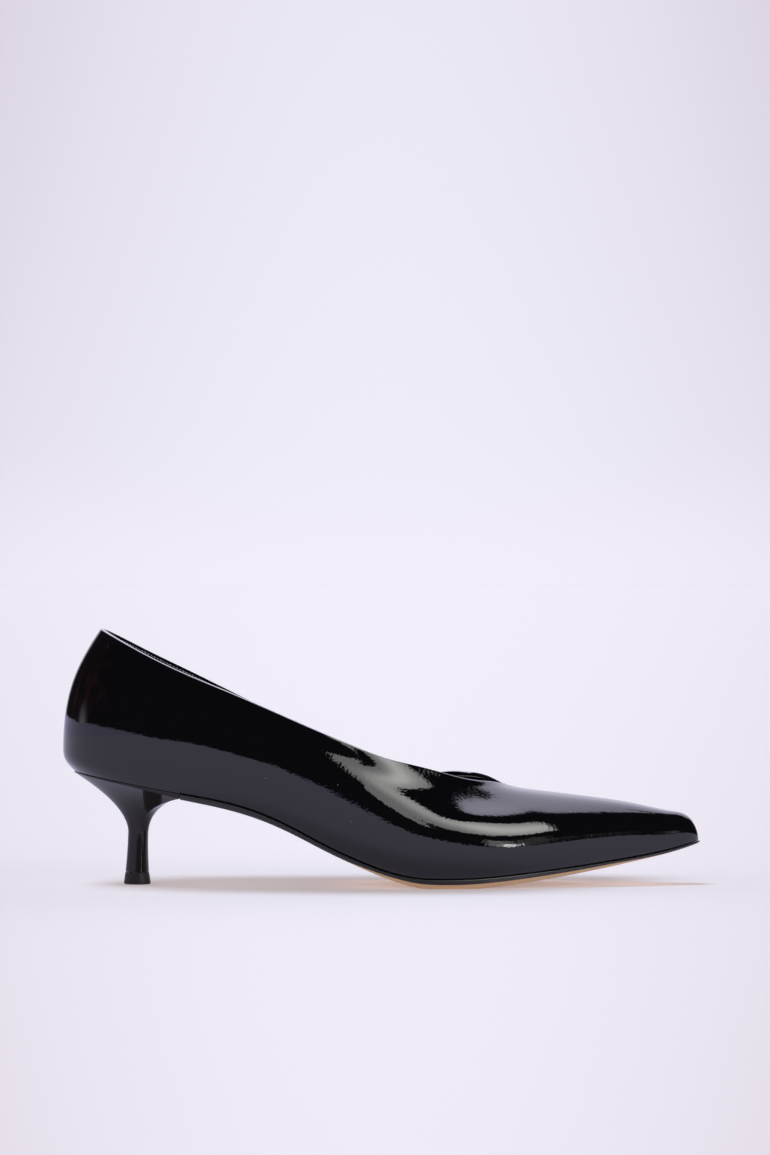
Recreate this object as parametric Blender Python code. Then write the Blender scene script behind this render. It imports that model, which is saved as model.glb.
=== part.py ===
"""Kitten heel pump with a pointed toe and a V throat: a right shoe, standing empty on its sole.

Sizes are in millimetres from the back of the heel: x runs to the toe, y to the inner (medial) side and z up
from the floor. The finished meshes are moved so that the origin is the middle of the footprint, in metres.

Every piece is worked out from one last. A run along the shoe, from the middle of the heel back (0) to the
toe point (RUN_END), and a turn up the section, from the feather edge at the sole to the crown, give one
point of it.
"""
import math

import bmesh
import bpy
import numpy as np

MM = 0.001

# Sizes of the last
UPPER_TIP = 265.3
HEEL_ROUND = 23.0
TOE_ROUND = 5.0
RUN_END = UPPER_TIP + HEEL_ROUND + TOE_ROUND
ROLL_UNDER = math.radians(65)
ROLL_BLEND = 0.3
ROOF_SCALE = 5.37
SET_FADE = 45.0

# Leather, board and gaps
WALL = 1.6
GAP = 0.3
LASTING_TOE = 3.4
LASTING_SIDE = 5.0
LASTING_HALF = 12.0
BOARD = 1.8
BOARD_CLEAR = 0.45
BOARD_CLEAR_TIP = 0.9

# Throat: a V that opens backwards from its point
THROAT_X = 183.0
THROAT_LENGTH = 20.0
THROAT_LATERAL = 13.6
THROAT_MEDIAL = 13.4
THROAT_CURVE = 0.72
THROAT_BLEND = (134.0, 166.0)

# The medial lip of the throat stands a little proud: its height, middle and spread
LIP_RISE = 3.1
LIP_X = 170.0
LIP_Y = 12.0
LIP_LONG = 14.0
LIP_BROAD = 9.0

# Sole, heel and top lift
SOLE_EDGE = ((0.6, 0.0), (0.6, 0.52), (0.0, 0.86), (-1.8, 1.0))
BREAST_X = 49.5
HEEL_INSET = 0.2
LIP_BACK = 0.4
LIP_BREAST = 2.0
NECK_TOP = 32.3
NECK_Z = 21.5
STEM_Z = (17.0, 12.0, 8.5, 5.2)
LIFT_TOP = 4.9
LIFT_PROUD = 0.1
LIFT_FLARE = 0.75
LIFT_EDGE = 0.4

# Mesh density, and how much the columns crowd at both ends of the collar and at the toe
REAR_COLUMNS = 34
REAR_CROWD = 0.45
FRONT_COLUMNS = 18
TOE_CROWD = 1.35
WALL_ROWS = 10
SEAT_COLUMNS = 12
BREAST_COLUMNS = 6
BREAST_SPARE = 2.0
FLARE_ROWS = 7
SHARP_EDGE = math.radians(40)

# Samples along the run, samples up a section where a cut is looked for, and the step of a slope
RUN_SAMPLES = 6001
CUT_SAMPLES = 400
SLOPE_STEP = 0.05

# The insole's edge is looked for below this turn
BOARD_TURN = 0.4

LATERAL = -1
MEDIAL = 1

# Sections of the last. Widths are from the axis to the widest line of the wall, under is how far the feather
# edge lies inside it, up is the widest line's height over the feather edge, crown is the height of the ridge
# over the floor (behind the throat it is where the last, not the leather, goes on), shift is the place of the
# ridge towards the medial side, and roof is how much fuller (+) or flatter (-) than an ellipse the shoulder.
LAST_COLUMNS = ("x", "lateral", "medial", "under_l", "under_m", "up", "crown", "shift", "roof")
LAST_ROWS = (
    (0.0, 0.0, 0.0, 0.0, 0.0, 17.0, 124.0, 0.0, 0.0),
    (5.0, 14.6, 14.6, 1.9, 1.9, 17.5, 124.0, 0.0, 0.0),
    (14.0, 22.6, 22.4, 3.0, 3.0, 18.5, 123.5, 0.0, 0.0),
    (30.0, 28.2, 27.8, 3.8, 3.8, 19.5, 122.0, 0.0, 0.0),
    (52.0, 29.4, 28.2, 4.2, 5.0, 20.0, 118.0, 0.0, 0.0),
    (78.0, 29.6, 26.8, 5.0, 7.0, 19.8, 112.0, 0.5, 0.0),
    (104.0, 32.0, 27.6, 5.4, 7.4, 21.3, 101.0, 0.8, 0.0),
    (128.0, 36.2, 31.0, 4.8, 6.2, 20.5, 80.0, 1.2, -0.03),
    (150.0, 39.2, 35.0, 4.0, 4.8, 17.0, 59.4, 1.6, -0.06),
    (168.0, 38.9, 36.9, 3.6, 4.0, 13.9, 47.8, 1.6, -0.07),
    (184.0, 35.6, 34.7, 3.2, 3.4, 11.6, 41.7, 1.2, -0.07),
    (203.0, 28.9, 28.2, 2.8, 3.0, 11.0, 38.7, 0.6, -0.05),
    (222.0, 21.3, 20.7, 2.4, 2.5, 10.2, 36.4, 0.3, -0.03),
    (240.0, 14.3, 13.9, 1.9, 1.9, 8.4, 33.5, 0.1, -0.01),
    (254.0, 9.0, 8.8, 1.3, 1.3, 5.8, 30.6, 0.0, 0.0),
    (262.0, 5.3, 5.2, 0.8, 0.8, 3.8, 27.4, 0.0, 0.0),
    (UPPER_TIP, 0.0, 0.0, 0.0, 0.0, 0.0, 18.4, 0.0, 0.0),
)

# The quarters hollow softly under the topline beside the throat: the trough's middle, depth and spread
HOLLOW_COLUMNS = ("x", "z", "depth", "spread")
HOLLOW_ROWS = (
    (90.0, 64.0, 0.0, 3.0), (104.0, 59.4, 0.7, 3.2), (118.0, 54.0, 1.5, 3.6), (132.0, 48.4, 2.2, 4.0),
    (148.0, 44.0, 2.3, 4.4), (163.0, 42.6, 1.4, 4.8), (178.0, 42.0, 0.0, 5.0),
)
HOLLOW_LEAN = math.radians(35)

# Feather edge along the shoe: seat, arch, ball and toe spring
BOTTOM_COLUMNS = ("x", "z")
BOTTOM_ROWS = (
    (4.5, 47.6), (20.0, 44.6), (36.0, 41.5), (52.0, 38.4), (65.0, 35.9), (80.0, 31.7), (95.0, 25.2),
    (110.0, 17.4), (125.0, 10.7), (138.0, 6.2), (148.0, 4.3), (158.0, 3.9), (170.0, 4.1), (186.0, 5.3),
    (204.0, 7.3), (222.0, 9.7), (240.0, 12.4), (254.0, 15.2), (UPPER_TIP, 18.4),
)

# Back curve: how far the heel back is set forward at each height over the seat
BACK_COLUMNS = ("height", "forward")
BACK_ROWS = ((0.0, 4.5), (4.0, 1.1), (9.5, 0.0), (20.0, 0.5), (34.0, 3.0), (46.0, 7.8), (60.0, 16.3),
             (76.0, 28.0))

# Collar edge over the floor, on the outer and the inner side
COLLAR_COLUMNS = ("x", "lateral", "medial")
COLLAR_ROWS = (
    (16.7, 106.9, 106.9), (36.0, 96.4, 96.8), (52.6, 88.5, 88.7), (70.0, 81.2, 80.0), (90.0, 72.6, 70.2),
    (110.0, 63.9, 61.2), (130.0, 55.9, 53.2), (150.0, 49.3, 47.8), (166.0, 45.2, 46.7),
)

# Sole thickness along the shoe, from the breast to the toe
SOLE_COLUMNS = ("x", "thick")
SOLE_ROWS = ((52.0, 2.4), (75.0, 2.7), (100.0, 2.3), (125.0, 2.3), (140.0, 3.0), (152.0, 3.9), (174.0, 3.9),
             (205.0, 3.1), (225.0, 2.3), (242.0, 1.5), (266.0, 1.0))

# Heel stem from neck to foot: back and front of its oval, where it is widest and half its width
STEM_COLUMNS = ("z", "back", "front", "widest", "half")
STEM_ROWS = ((5.2, 26.1, 35.9, 32.0, 5.0), (12.0, 26.7, 35.6, 32.0, 4.6), (NECK_Z, 27.2, 35.6, 32.0, 4.4),
             (NECK_TOP, 27.4, 36.3, 32.2, 4.7))

MATERIALS = {
    "upper": ("patent_leather", (0.012, 0.012, 0.014), 0.07),
    "insole": ("sock_lining", (0.02, 0.02, 0.022), 0.6),
    "outsole": ("sole_leather", (0.55, 0.36, 0.2), 0.5),
    "heel": ("heel_lacquer", (0.012, 0.012, 0.014), 0.1),
    "top_lift": ("lift_rubber", (0.02, 0.02, 0.02), 0.6),
}


def table(names, rows):
    """Columns of a table by name."""
    return dict(zip(names, np.array(rows, float).T))


def spline(knots, values, level_start=False):
    """Smooth cubic curve through a column of values; its start may be held level."""
    step = np.diff(knots)
    slope = np.diff(values) / step
    count = len(knots)
    matrix = np.eye(count)
    right = np.zeros(count)
    for i in range(1, count - 1):
        matrix[i, i - 1:i + 2] = step[i - 1], 2 * (step[i - 1] + step[i]), step[i]
        right[i] = 6 * (slope[i] - slope[i - 1])
    if level_start:
        matrix[0, :2] = 2 * step[0], step[0]
        right[0] = 6 * slope[0]
    bend = np.linalg.solve(matrix, right)

    def at(place):
        place = np.asarray(place, float)
        i = np.clip(np.searchsorted(knots, place) - 1, 0, count - 2)
        u = (place - knots[i]) / step[i]
        curve = ((1 - u) ** 3 - (1 - u)) * bend[i] + (u ** 3 - u) * bend[i + 1]
        return values[i] * (1 - u) + values[i + 1] * u + step[i] ** 2 / 6 * curve

    return at


def run_samples():
    """The run along the shoe and its x: both ends are round, so x starts and ends level."""
    run = np.linspace(0, RUN_END, RUN_SAMPLES)
    left = RUN_END - run
    speed = run / np.hypot(run, HEEL_ROUND) * left / np.hypot(left, TOE_ROUND)
    x = np.concatenate(([0.0], np.cumsum((speed[1:] + speed[:-1]) / 2 * np.diff(run))))
    return run, x * UPPER_TIP / x[-1]


RUN, RUN_X = run_samples()
LAST = table(LAST_COLUMNS, LAST_ROWS)
HOLLOW = table(HOLLOW_COLUMNS, HOLLOW_ROWS)
BOTTOM = table(BOTTOM_COLUMNS, BOTTOM_ROWS)
BACK = table(BACK_COLUMNS, BACK_ROWS)
COLLAR = table(COLLAR_COLUMNS, COLLAR_ROWS)
SOLE = table(SOLE_COLUMNS, SOLE_ROWS)
STEM = table(STEM_COLUMNS, STEM_ROWS)

bottom_z = spline(BOTTOM["x"], BOTTOM["z"])
set_forward = spline(BACK["height"], BACK["forward"])
sole_thick = spline(SOLE["x"], SOLE["thick"])
collar_z = {LATERAL: spline(COLLAR["x"], COLLAR["lateral"]), MEDIAL: spline(COLLAR["x"], COLLAR["medial"])}
stem = {name: spline(STEM["z"], STEM[name]) for name in STEM_COLUMNS[1:]}
hollow = {name: spline(HOLLOW["x"], HOLLOW[name]) for name in HOLLOW_COLUMNS[1:]}

last_runs = np.interp(LAST["x"], RUN_X, RUN)
last = {name: spline(last_runs, LAST[name], name == "up") for name in LAST_COLUMNS[1:]}


def forward_share(run):
    """How much of the back curve a section still takes, fading forwards from the heel back."""
    return np.exp(-(run / SET_FADE) ** 2)


def seat_x(run):
    """Where a section's feather edge lies along the shoe."""
    return np.interp(run, RUN, RUN_X) + BACK["forward"][0] * forward_share(run)


row_rise = LAST["crown"] - bottom_z(seat_x(last_runs))
crown_rise = spline(last_runs, row_rise, True)


def hollow_depth(x, z):
    """How far the skin is pressed in at a place beside the throat."""
    along = np.clip(x, HOLLOW["x"][0], HOLLOW["x"][-1])
    off = (z - hollow["z"](along)) / hollow["spread"](along)
    return np.maximum(hollow["depth"](along), 0) * np.exp(-off ** 2 / 2)


def skin(run, turn, side):
    """Outer face of the leather at a run along the shoe and a turn up the section, on one side."""
    wide = last["lateral"] if side == LATERAL else last["medial"]
    under = last["under_l"] if side == LATERAL else last["under_m"]
    half = wide(run)
    up = last["up"](run)
    across = half - side * last["shift"](run)
    above = crown_rise(run) - up
    share = 0.5 * (1 + np.tanh(turn / ROLL_BLEND))
    reach_y = (1 - share) * under(run) / (1 - math.cos(ROLL_UNDER)) + share * across
    reach_z = (1 - share) * up / math.sin(ROLL_UNDER) + share * above
    shoulder = ROOF_SCALE * last["roof"](run) * np.maximum(np.sin(turn), 0) ** 3 * np.cos(turn) ** 2
    y = half - reach_y * (1 - np.cos(turn)) + shoulder * across
    height = up + reach_z * np.sin(turn) + shoulder * above
    x = np.interp(run, RUN, RUN_X) + set_forward(height) * forward_share(run)
    from_lip = ((x - LIP_X) / LIP_LONG) ** 2 + ((side * y - LIP_Y) / LIP_BROAD) ** 2
    height = height + LIP_RISE * np.exp(-from_lip) * np.maximum(np.sin(turn), 0)
    z = bottom_z(seat_x(run)) + height
    deep = hollow_depth(x, z)
    y = y - deep * math.cos(HOLLOW_LEAN)
    z = z - deep * math.sin(HOLLOW_LEAN)
    return np.stack(np.broadcast_arrays(x, side * y, z), -1)


def lining(run, turn, side):
    """Inner face of the leather: the skin set in by the wall, and no lower than the lasting margin's top."""
    along = skin(min(run + SLOPE_STEP, RUN_END), turn, side) - skin(max(run - SLOPE_STEP, 0), turn, side)
    round_section = skin(run, turn + SLOPE_STEP, side) - skin(run, turn - SLOPE_STEP, side)
    normal = side * np.cross(round_section, along)
    normal /= np.linalg.norm(normal, axis=-1, keepdims=True)
    inner = skin(run, turn, side) - WALL * normal
    if run == 0:
        inner[..., 1] = 0.0
    inner[..., 2] = np.maximum(inner[..., 2], bottom_z(inner[..., 0]) + WALL)
    return inner


def collar_turn(run, side):
    """Turn at which the collar or the V throat cuts a section; the crown where the vamp is whole."""
    turns = np.linspace(-ROLL_UNDER / 2, math.pi / 2, CUT_SAMPLES)
    points = skin(run, turns, side)
    behind = np.maximum(THROAT_X - points[:, 0], 0)
    throat = THROAT_LATERAL if side == LATERAL else THROAT_MEDIAL
    vee = throat * (behind / THROAT_LENGTH) ** THROAT_CURVE
    start, end = THROAT_BLEND
    share = np.clip((points[:, 0] - start) / (end - start), 0, 1)
    share = share * share * (3 - 2 * share)
    by_height = points[:, 2] - collar_z[side](points[:, 0])
    by_width = vee - np.abs(points[:, 1] - last["shift"](run))
    cut = (1 - share) * by_height + share * by_width
    past = np.nonzero(cut > 0)[0]
    if len(past) == 0:
        return math.pi / 2
    i = past[0]
    return float(np.interp(0, cut[i - 1:i + 1], turns[i - 1:i + 1]))


def ring(run, side, out):
    """Feather edge of one side in plan, moved outwards (or inwards, below zero) square to itself."""
    here = skin(run, -ROLL_UNDER, side)[:2]
    ahead = skin(min(run + SLOPE_STEP, RUN_END), -ROLL_UNDER, side)[:2]
    behind = skin(max(run - SLOPE_STEP, 0), -ROLL_UNDER, side)[:2]
    tangent = (ahead - behind) / np.linalg.norm(ahead - behind)
    if run in (0, RUN_END):
        tangent = np.array((0.0, side if run == 0 else -side))
    return here + out * side * np.array((-tangent[1], tangent[0]))


class Mesh:
    """Points by key, so that sides and rows that meet share them, and faces without repeated points."""

    def __init__(self):
        self.index = {}
        self.points = []
        self.faces = []

    def add(self, key, point):
        if key not in self.index:
            self.index[key] = len(self.points)
            self.points.append(tuple(float(value) for value in point))
        return key

    def face(self, *keys):
        corners = []
        for key in keys:
            if self.index[key] not in corners:
                corners.append(self.index[key])
        if len(corners) > 2:
            self.faces.append(corners)


def columns():
    """Runs of the mesh columns: closer at the heel back, at the throat's point and at the toe."""
    throat_run = float(np.interp(THROAT_X, RUN_X, RUN))
    u = np.linspace(0, 1, REAR_COLUMNS + 1)
    rear = throat_run * (u - REAR_CROWD * np.sin(2 * math.pi * u) / (2 * math.pi))
    v = np.linspace(0, 1, FRONT_COLUMNS + 1)[1:]
    front = throat_run + (RUN_END - throat_run) * (1 - (1 - v) ** TOE_CROWD)
    front[-1] = RUN_END
    return np.concatenate((rear, front))


COLUMNS = columns()
LAST_COLUMN = len(COLUMNS) - 1


def lasting_width(run, side):
    """Width of the turned-in lasting margin, narrower where the shoe is."""
    half = abs(skin(run, -ROLL_UNDER, side)[1])
    return LASTING_TOE + LASTING_SIDE * half / (half + LASTING_HALF)


def upper_mesh():
    """The lasted leather shell: skin, lining, collar edge and turned-in lasting margin."""
    mesh = Mesh()

    def key(layer, side, column, row):
        wall = layer in ("skin", "lining")
        if wall and column == LAST_COLUMN:
            row = 0
        if column in (0, LAST_COLUMN) or (wall and row == WALL_ROWS and column >= REAR_COLUMNS):
            side = 0
        return layer, side, column, row

    for side in (LATERAL, MEDIAL):
        for column, run in enumerate(COLUMNS):
            turns = np.linspace(-ROLL_UNDER, collar_turn(run, side), WALL_ROWS + 1)
            outer = skin(run, turns, side)
            if column == LAST_COLUMN:
                tip_x = UPPER_TIP - WALL
                inner = np.tile((tip_x, 0.0, float(bottom_z(tip_x)) + WALL), (WALL_ROWS + 1, 1))
            else:
                inner = lining(run, turns, side)
            for row in range(WALL_ROWS + 1):
                mesh.add(key("skin", side, column, row), outer[row])
                mesh.add(key("lining", side, column, row), inner[row])
            x, y = ring(run, side, -lasting_width(run, side))
            mesh.add(key("under", side, column, 0), (x, y, bottom_z(x)))
            mesh.add(key("over", side, column, 0), (x, y, bottom_z(x) + WALL))
        for column in range(LAST_COLUMN):
            for layer in ("skin", "lining"):
                for row in range(WALL_ROWS):
                    mesh.face(key(layer, side, column, row), key(layer, side, column + 1, row),
                              key(layer, side, column + 1, row + 1), key(layer, side, column, row + 1))
            strips = [("skin", "under", 0), ("under", "over", 0), ("over", "lining", 0)]
            if column < REAR_COLUMNS:
                strips.append(("skin", "lining", WALL_ROWS))
            for first, second, row in strips:
                mesh.face(key(first, side, column, row), key(first, side, column + 1, row),
                          key(second, side, column + 1, row), key(second, side, column, row))
    return mesh


def board_point(run, side, height):
    """Point of the insole's edge: the lining at a height over the feather edge, set in by the clearance."""
    if run == RUN_END:
        tip_x = UPPER_TIP - WALL - BOARD_CLEAR_TIP
        return np.array((tip_x, 0.0, float(bottom_z(tip_x)) + height))
    inner = lining(run, np.linspace(-ROLL_UNDER, BOARD_TURN, CUT_SAMPLES), side)
    over = inner[:, 2] - bottom_z(inner[:, 0])
    reach = np.maximum.accumulate(over)
    x = float(np.interp(height, reach, inner[:, 0]))
    y = float(np.interp(height, reach, inner[:, 1]))
    here = ring(run, side, 0)
    inwards = ring(run, side, -BOARD_CLEAR) - here
    return np.array((x + inwards[0], y + inwards[1], float(bottom_z(x + inwards[0])) + height))


def plate_mesh(runs, rows, closed_back):
    """A plate across the shoe, from the rows of edge points of each side, pointed at the toe."""
    mesh = Mesh()
    end = len(runs) - 1

    def key(side, column, row):
        if column == end or (closed_back and column == 0):
            side = 0
        return side, column, row

    for column, run in enumerate(runs):
        for side in (LATERAL, MEDIAL):
            for row, point in enumerate(rows(run, side)):
                mesh.add(key(side, column, row), point)
                last_row = row
    for column in range(end):
        for side in (LATERAL, MEDIAL):
            for row in range(last_row):
                mesh.face(key(side, column, row), key(side, column + 1, row),
                          key(side, column + 1, row + 1), key(side, column, row + 1))
        for row in (0, last_row):
            mesh.face(key(LATERAL, column, row), key(LATERAL, column + 1, row),
                      key(MEDIAL, column + 1, row), key(MEDIAL, column, row))
    if not closed_back:
        for row in range(last_row):
            mesh.face(key(LATERAL, 0, row), key(LATERAL, 0, row + 1),
                      key(MEDIAL, 0, row + 1), key(MEDIAL, 0, row))
    return mesh


def insole_mesh():
    """Insole board with its sock: it lies on the lasting margin and fills the feather line."""
    low = WALL + GAP

    def rows(run, side):
        return [board_point(run, side, low), board_point(run, side, low + BOARD)]

    return plate_mesh(COLUMNS, rows, True)


def outsole_mesh():
    """Outsole from the heel breast to the toe, with an upright edge and a rounded lower edge."""
    start = float(np.interp(BREAST_X + GAP, seat_x(RUN), RUN))
    runs = np.concatenate(([start], COLUMNS[COLUMNS > start + BREAST_SPARE]))

    def rows(run, side):
        points = []
        for out, share in SOLE_EDGE:
            x, y = ring(run, side, out)
            top = float(bottom_z(x)) - GAP
            points.append((x, y, max(top - share * float(sole_thick(x)), 0.0)))
        return points

    return plate_mesh(runs, rows, False)


def stem_outline(z):
    """Oval of the heel stem at a height: points as many and in the same order as the seat's outline."""
    size = {name: float(stem[name](z)) for name in STEM_COLUMNS[1:]}
    points = []
    for angle in np.linspace(-math.pi / 2, math.pi / 2, 2 * SEAT_COLUMNS + 1):
        points.append((size["widest"] - (size["widest"] - size["back"]) * math.cos(angle),
                       size["half"] * math.sin(angle)))
    for angle in np.linspace(math.pi / 2, -math.pi / 2, BREAST_COLUMNS + 1)[1:-1]:
        points.append((size["widest"] + (size["front"] - size["widest"]) * math.cos(angle),
                       size["half"] * math.sin(angle)))
    return np.array(points)


def seat_outline():
    """Outline of the heel under the seat: the feather edge round the back and a straight breast line."""
    end = float(np.interp(BREAST_X, seat_x(RUN), RUN))
    runs = end * np.linspace(0, 1, SEAT_COLUMNS + 1)
    around = [ring(run, LATERAL, -HEEL_INSET) for run in runs[:0:-1]]
    around += [ring(run, MEDIAL, -HEEL_INSET) for run in runs]
    first, last_point = around[0], around[-1]
    for share in np.linspace(0, 1, BREAST_COLUMNS + 1)[1:-1]:
        around.append(last_point + (first - last_point) * share)
    return np.array(around)


def stack_mesh(levels):
    """A solid from closed outlines stacked on each other, closed at both ends."""
    mesh = Mesh()
    count = len(levels[0])
    for level, outline in enumerate(levels):
        for i, point in enumerate(outline):
            mesh.add((level, i), point)
    for level in range(len(levels) - 1):
        for i in range(count):
            j = (i + 1) % count
            mesh.face((level, i), (level, j), (level + 1, j), (level + 1, i))
    for level in (0, len(levels) - 1):
        for i in range(SEAT_COLUMNS):
            near, far = i, 2 * SEAT_COLUMNS - i
            mesh.face((level, near), (level, near + 1), (level, far - 1), (level, far))
        mesh.face((level, 0), *((level, i) for i in range(2 * SEAT_COLUMNS, count)))
    return mesh


def heel_mesh():
    """Kitten heel: the seat flares in to a slim stem, down to the top lift."""
    seat = seat_outline()
    top = np.column_stack((seat, bottom_z(seat[:, 0]) - GAP))
    lip = top.copy()
    lip[:, 2] -= LIP_BACK + (LIP_BREAST - LIP_BACK) * (seat[:, 0] / BREAST_X) ** 2
    shoulder = np.column_stack((stem_outline(NECK_TOP), np.full(len(seat), NECK_TOP)))
    neck = np.column_stack((stem_outline(NECK_Z), np.full(len(seat), NECK_Z)))
    levels = [top]
    for u in np.linspace(0, 1, FLARE_ROWS + 1):
        levels.append((1 - u) ** 2 * lip + 2 * u * (1 - u) * shoulder + u * u * neck)
    for z in STEM_Z:
        levels.append(np.column_stack((stem_outline(z), np.full(len(seat), z))))
    return stack_mesh(levels)


def lift_mesh():
    """Top lift: the stem's foot outline, flared down to its flat tread."""
    foot = stem_outline(STEM_Z[-1])
    middle = foot.mean(axis=0)
    away = (foot - middle) / np.linalg.norm(foot - middle, axis=1)[:, None]
    levels = []
    for out, z in ((LIFT_PROUD, LIFT_TOP), (LIFT_FLARE, LIFT_EDGE), (LIFT_FLARE - LIFT_EDGE, 0.0)):
        levels.append(np.column_stack((foot + out * away, np.full(len(foot), z))))
    return stack_mesh(levels)


def material(name, colour, roughness):
    """Principled material of one piece."""
    made = bpy.data.materials.new(name)
    made.use_nodes = True
    shader = made.node_tree.nodes["Principled BSDF"]
    shader.inputs["Base Color"].default_value = (*colour, 1.0)
    shader.inputs["Roughness"].default_value = roughness
    shader.inputs["Metallic"].default_value = 0.0
    return made


def place(name, mesh, middle):
    """Make the named object of a piece, closed, facing out and in metres about the footprint's middle."""
    data = bpy.data.meshes.new(name)
    points = (np.array(mesh.points) - middle) * MM
    data.from_pydata(points.tolist(), [], mesh.faces)
    work = bmesh.new()
    work.from_mesh(data)
    bmesh.ops.recalc_face_normals(work, faces=work.faces)
    work.to_mesh(data)
    work.free()
    data.shade_smooth()
    data.set_sharp_from_angle(angle=SHARP_EDGE)
    data.materials.append(material(*MATERIALS[name]))
    bpy.context.scene.collection.objects.link(bpy.data.objects.new(name, data))


def main():
    """Clear the scene, make the five pieces and set them about the middle of the footprint."""
    for thing in list(bpy.data.objects):
        bpy.data.objects.remove(thing, do_unlink=True)
    meshes = {
        "upper": upper_mesh(),
        "insole": insole_mesh(),
        "outsole": outsole_mesh(),
        "heel": heel_mesh(),
        "top_lift": lift_mesh(),
    }
    everything = np.concatenate([np.array(mesh.points) for mesh in meshes.values()])
    middle = (everything.min(axis=0) + everything.max(axis=0)) / 2
    middle[2] = 0.0
    for name, mesh in meshes.items():
        place(name, mesh, middle)


main()
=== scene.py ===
"""Looks of the kitten heel pump: patent upper, lining, sock, sole, lacquered heel and top lift.

Sizes are in millimetres on the last, from the back of the heel: x runs to the toe, y to the inner
(medial) side and z up from the floor. A piece is moved to the frame's origin and into metres when it
is made.
"""
import math

import bmesh
import bpy
import numpy as np
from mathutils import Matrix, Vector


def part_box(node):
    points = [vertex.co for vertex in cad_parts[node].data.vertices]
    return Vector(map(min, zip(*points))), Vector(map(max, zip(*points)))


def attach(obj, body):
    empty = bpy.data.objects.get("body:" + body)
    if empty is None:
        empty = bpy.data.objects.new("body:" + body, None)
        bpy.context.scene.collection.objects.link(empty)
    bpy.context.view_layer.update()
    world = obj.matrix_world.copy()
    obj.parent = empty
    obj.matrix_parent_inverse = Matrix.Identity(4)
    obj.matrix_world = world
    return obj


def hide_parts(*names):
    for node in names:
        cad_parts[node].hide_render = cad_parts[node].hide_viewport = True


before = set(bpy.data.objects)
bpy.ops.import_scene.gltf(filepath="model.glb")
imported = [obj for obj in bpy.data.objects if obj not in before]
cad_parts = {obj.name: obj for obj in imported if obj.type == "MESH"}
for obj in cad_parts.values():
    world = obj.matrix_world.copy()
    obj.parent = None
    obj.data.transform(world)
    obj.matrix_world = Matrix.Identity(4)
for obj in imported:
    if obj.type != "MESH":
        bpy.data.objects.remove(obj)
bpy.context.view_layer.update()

MM = 0.001
LATERAL = -1
MEDIAL = 1
SIDES = {LATERAL: "lateral", MEDIAL: "medial"}
BODY = "root"

# Where the last stands in the frame: its heel back at the lowest x, its axis beside the middle
AXIS_Y = 1.29
ORIGIN = np.array((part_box("upper")[0][0] / MM, AXIS_Y, 0.0))

# Camera, from the photograph's frame in pixels: level, square to the shoe's outer side
FRAME_WIDTH = 770
FRAME_HEIGHT = 1155
FOCAL_PIXELS = 5000
SENSOR = 36.0
CAMERA_PLACE = (1.5, -2087.0, 127.97)

# Sizes of the last
UPPER_TIP = 265.3
HEEL_ROUND = 23.0
TOE_ROUND = 5.0
RUN_END = UPPER_TIP + HEEL_ROUND + TOE_ROUND
ROLL_UNDER = math.radians(65)
ROLL_BLEND = 0.3
ROOF_SCALE = 5.37
SET_FADE = 45.0

# Leather, board and gaps
WALL = 1.6
PATENT = 1.0
GAP = 0.3
LASTING_TOE = 3.4
LASTING_SIDE = 5.0
LASTING_HALF = 12.0
BOARD = 1.8
BOARD_CLEAR = 0.45
BOARD_CLEAR_TIP = 0.9
BOARD_TURN = 0.4
BOARD_SOFT = 0.5
BOARD_SOFT_ROWS = 5

# Topline: the leather's folded edge leans out a little and is round at its corners (distance from the
# topline, depth in the wall); then the strip that it turns in, and the lining with its stitches
FOLD_OUTER = ((0.0, 1.3), (0.5, 0.3), (0.58, 0.18), (0.68, 0.085), (0.8, 0.028), (0.98, 0.0))
FOLD_INNER = ((0.0, 1.3), (0.04, 1.42), (0.1, 1.52), (0.2, 1.58), (0.35, 1.6))
OUTER_EDGE_ROWS = (3.4, 2.8, 2.3, 1.9, 1.55, 1.3, 1.12, 0.98, 0.86, 0.76, 0.66, 0.57, 0.5, 0.4, 0.27,
                   0.13, 0.0)
INNER_EDGE_ROWS = (1.4, 1.25, 1.18, 1.1, 0.7, 0.35, 0.2, 0.1, 0.04, 0.0)
FOLD_PLAIN = 0.7
# Beside the throat the fold swells into a soft bead on the outer side: height, reach, rounding and place
BEAD = 0.75
BEAD_REACH = 3.0
BEAD_ROUND = 0.85
BEAD_FROM = (146.0, 160.0)
BEAD_TO = (188.0, 178.0)
STRIP = 1.1
STRIP_STEP = 0.15
LINING_GAP = 0.05
LINING_PROUD = 0.08
LINING_START = -1.0
LINING_FRONT = 252.0
STITCH_DROP = 1.45
STITCH_PITCH = 1.5
STITCH_LONG = 1.05
STITCH_THICK = 0.34
STITCH_BLUNT = 0.97
STITCH_SLANT = math.radians(16)

# Throat: a V that opens backwards from its point
THROAT_X = 183.0
THROAT_LENGTH = 20.0
THROAT_HALF = {LATERAL: 13.6, MEDIAL: 13.4}
THROAT_CURVE = 0.72
THROAT_BLEND = (134.0, 166.0)
THROAT_WIDEN = 0.6
THROAT_WIDEN_BY = 6.0

# The medial lip of the throat stands a little proud: its height, middle and spread
LIP_RISE = 3.2
LIP_X = 169.0
LIP_Y = 12.0
LIP_LONG = 16.0
LIP_BROAD = 9.0

# Sole: its edge from the top down and under (out, share of the thickness), and the share down to which
# it is painted black at each place along the shoe
SOLE_EDGE = ((0.45, 0.0), (0.6, 0.06), (0.6, 0.5), (0.5, 0.58), (0.0, 0.86), (-0.5, 0.94), (-1.8, 1.0))
SOLE_EDGE_HIGH = 3.5
PAINT_TO = ((49, 1.1), (112, 1.1), (128, 0.62), (140, 0.47), (232, 0.47), (250, 0.8),
            (258, 1.1))
PAINT_SOFT = 0.05

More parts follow.
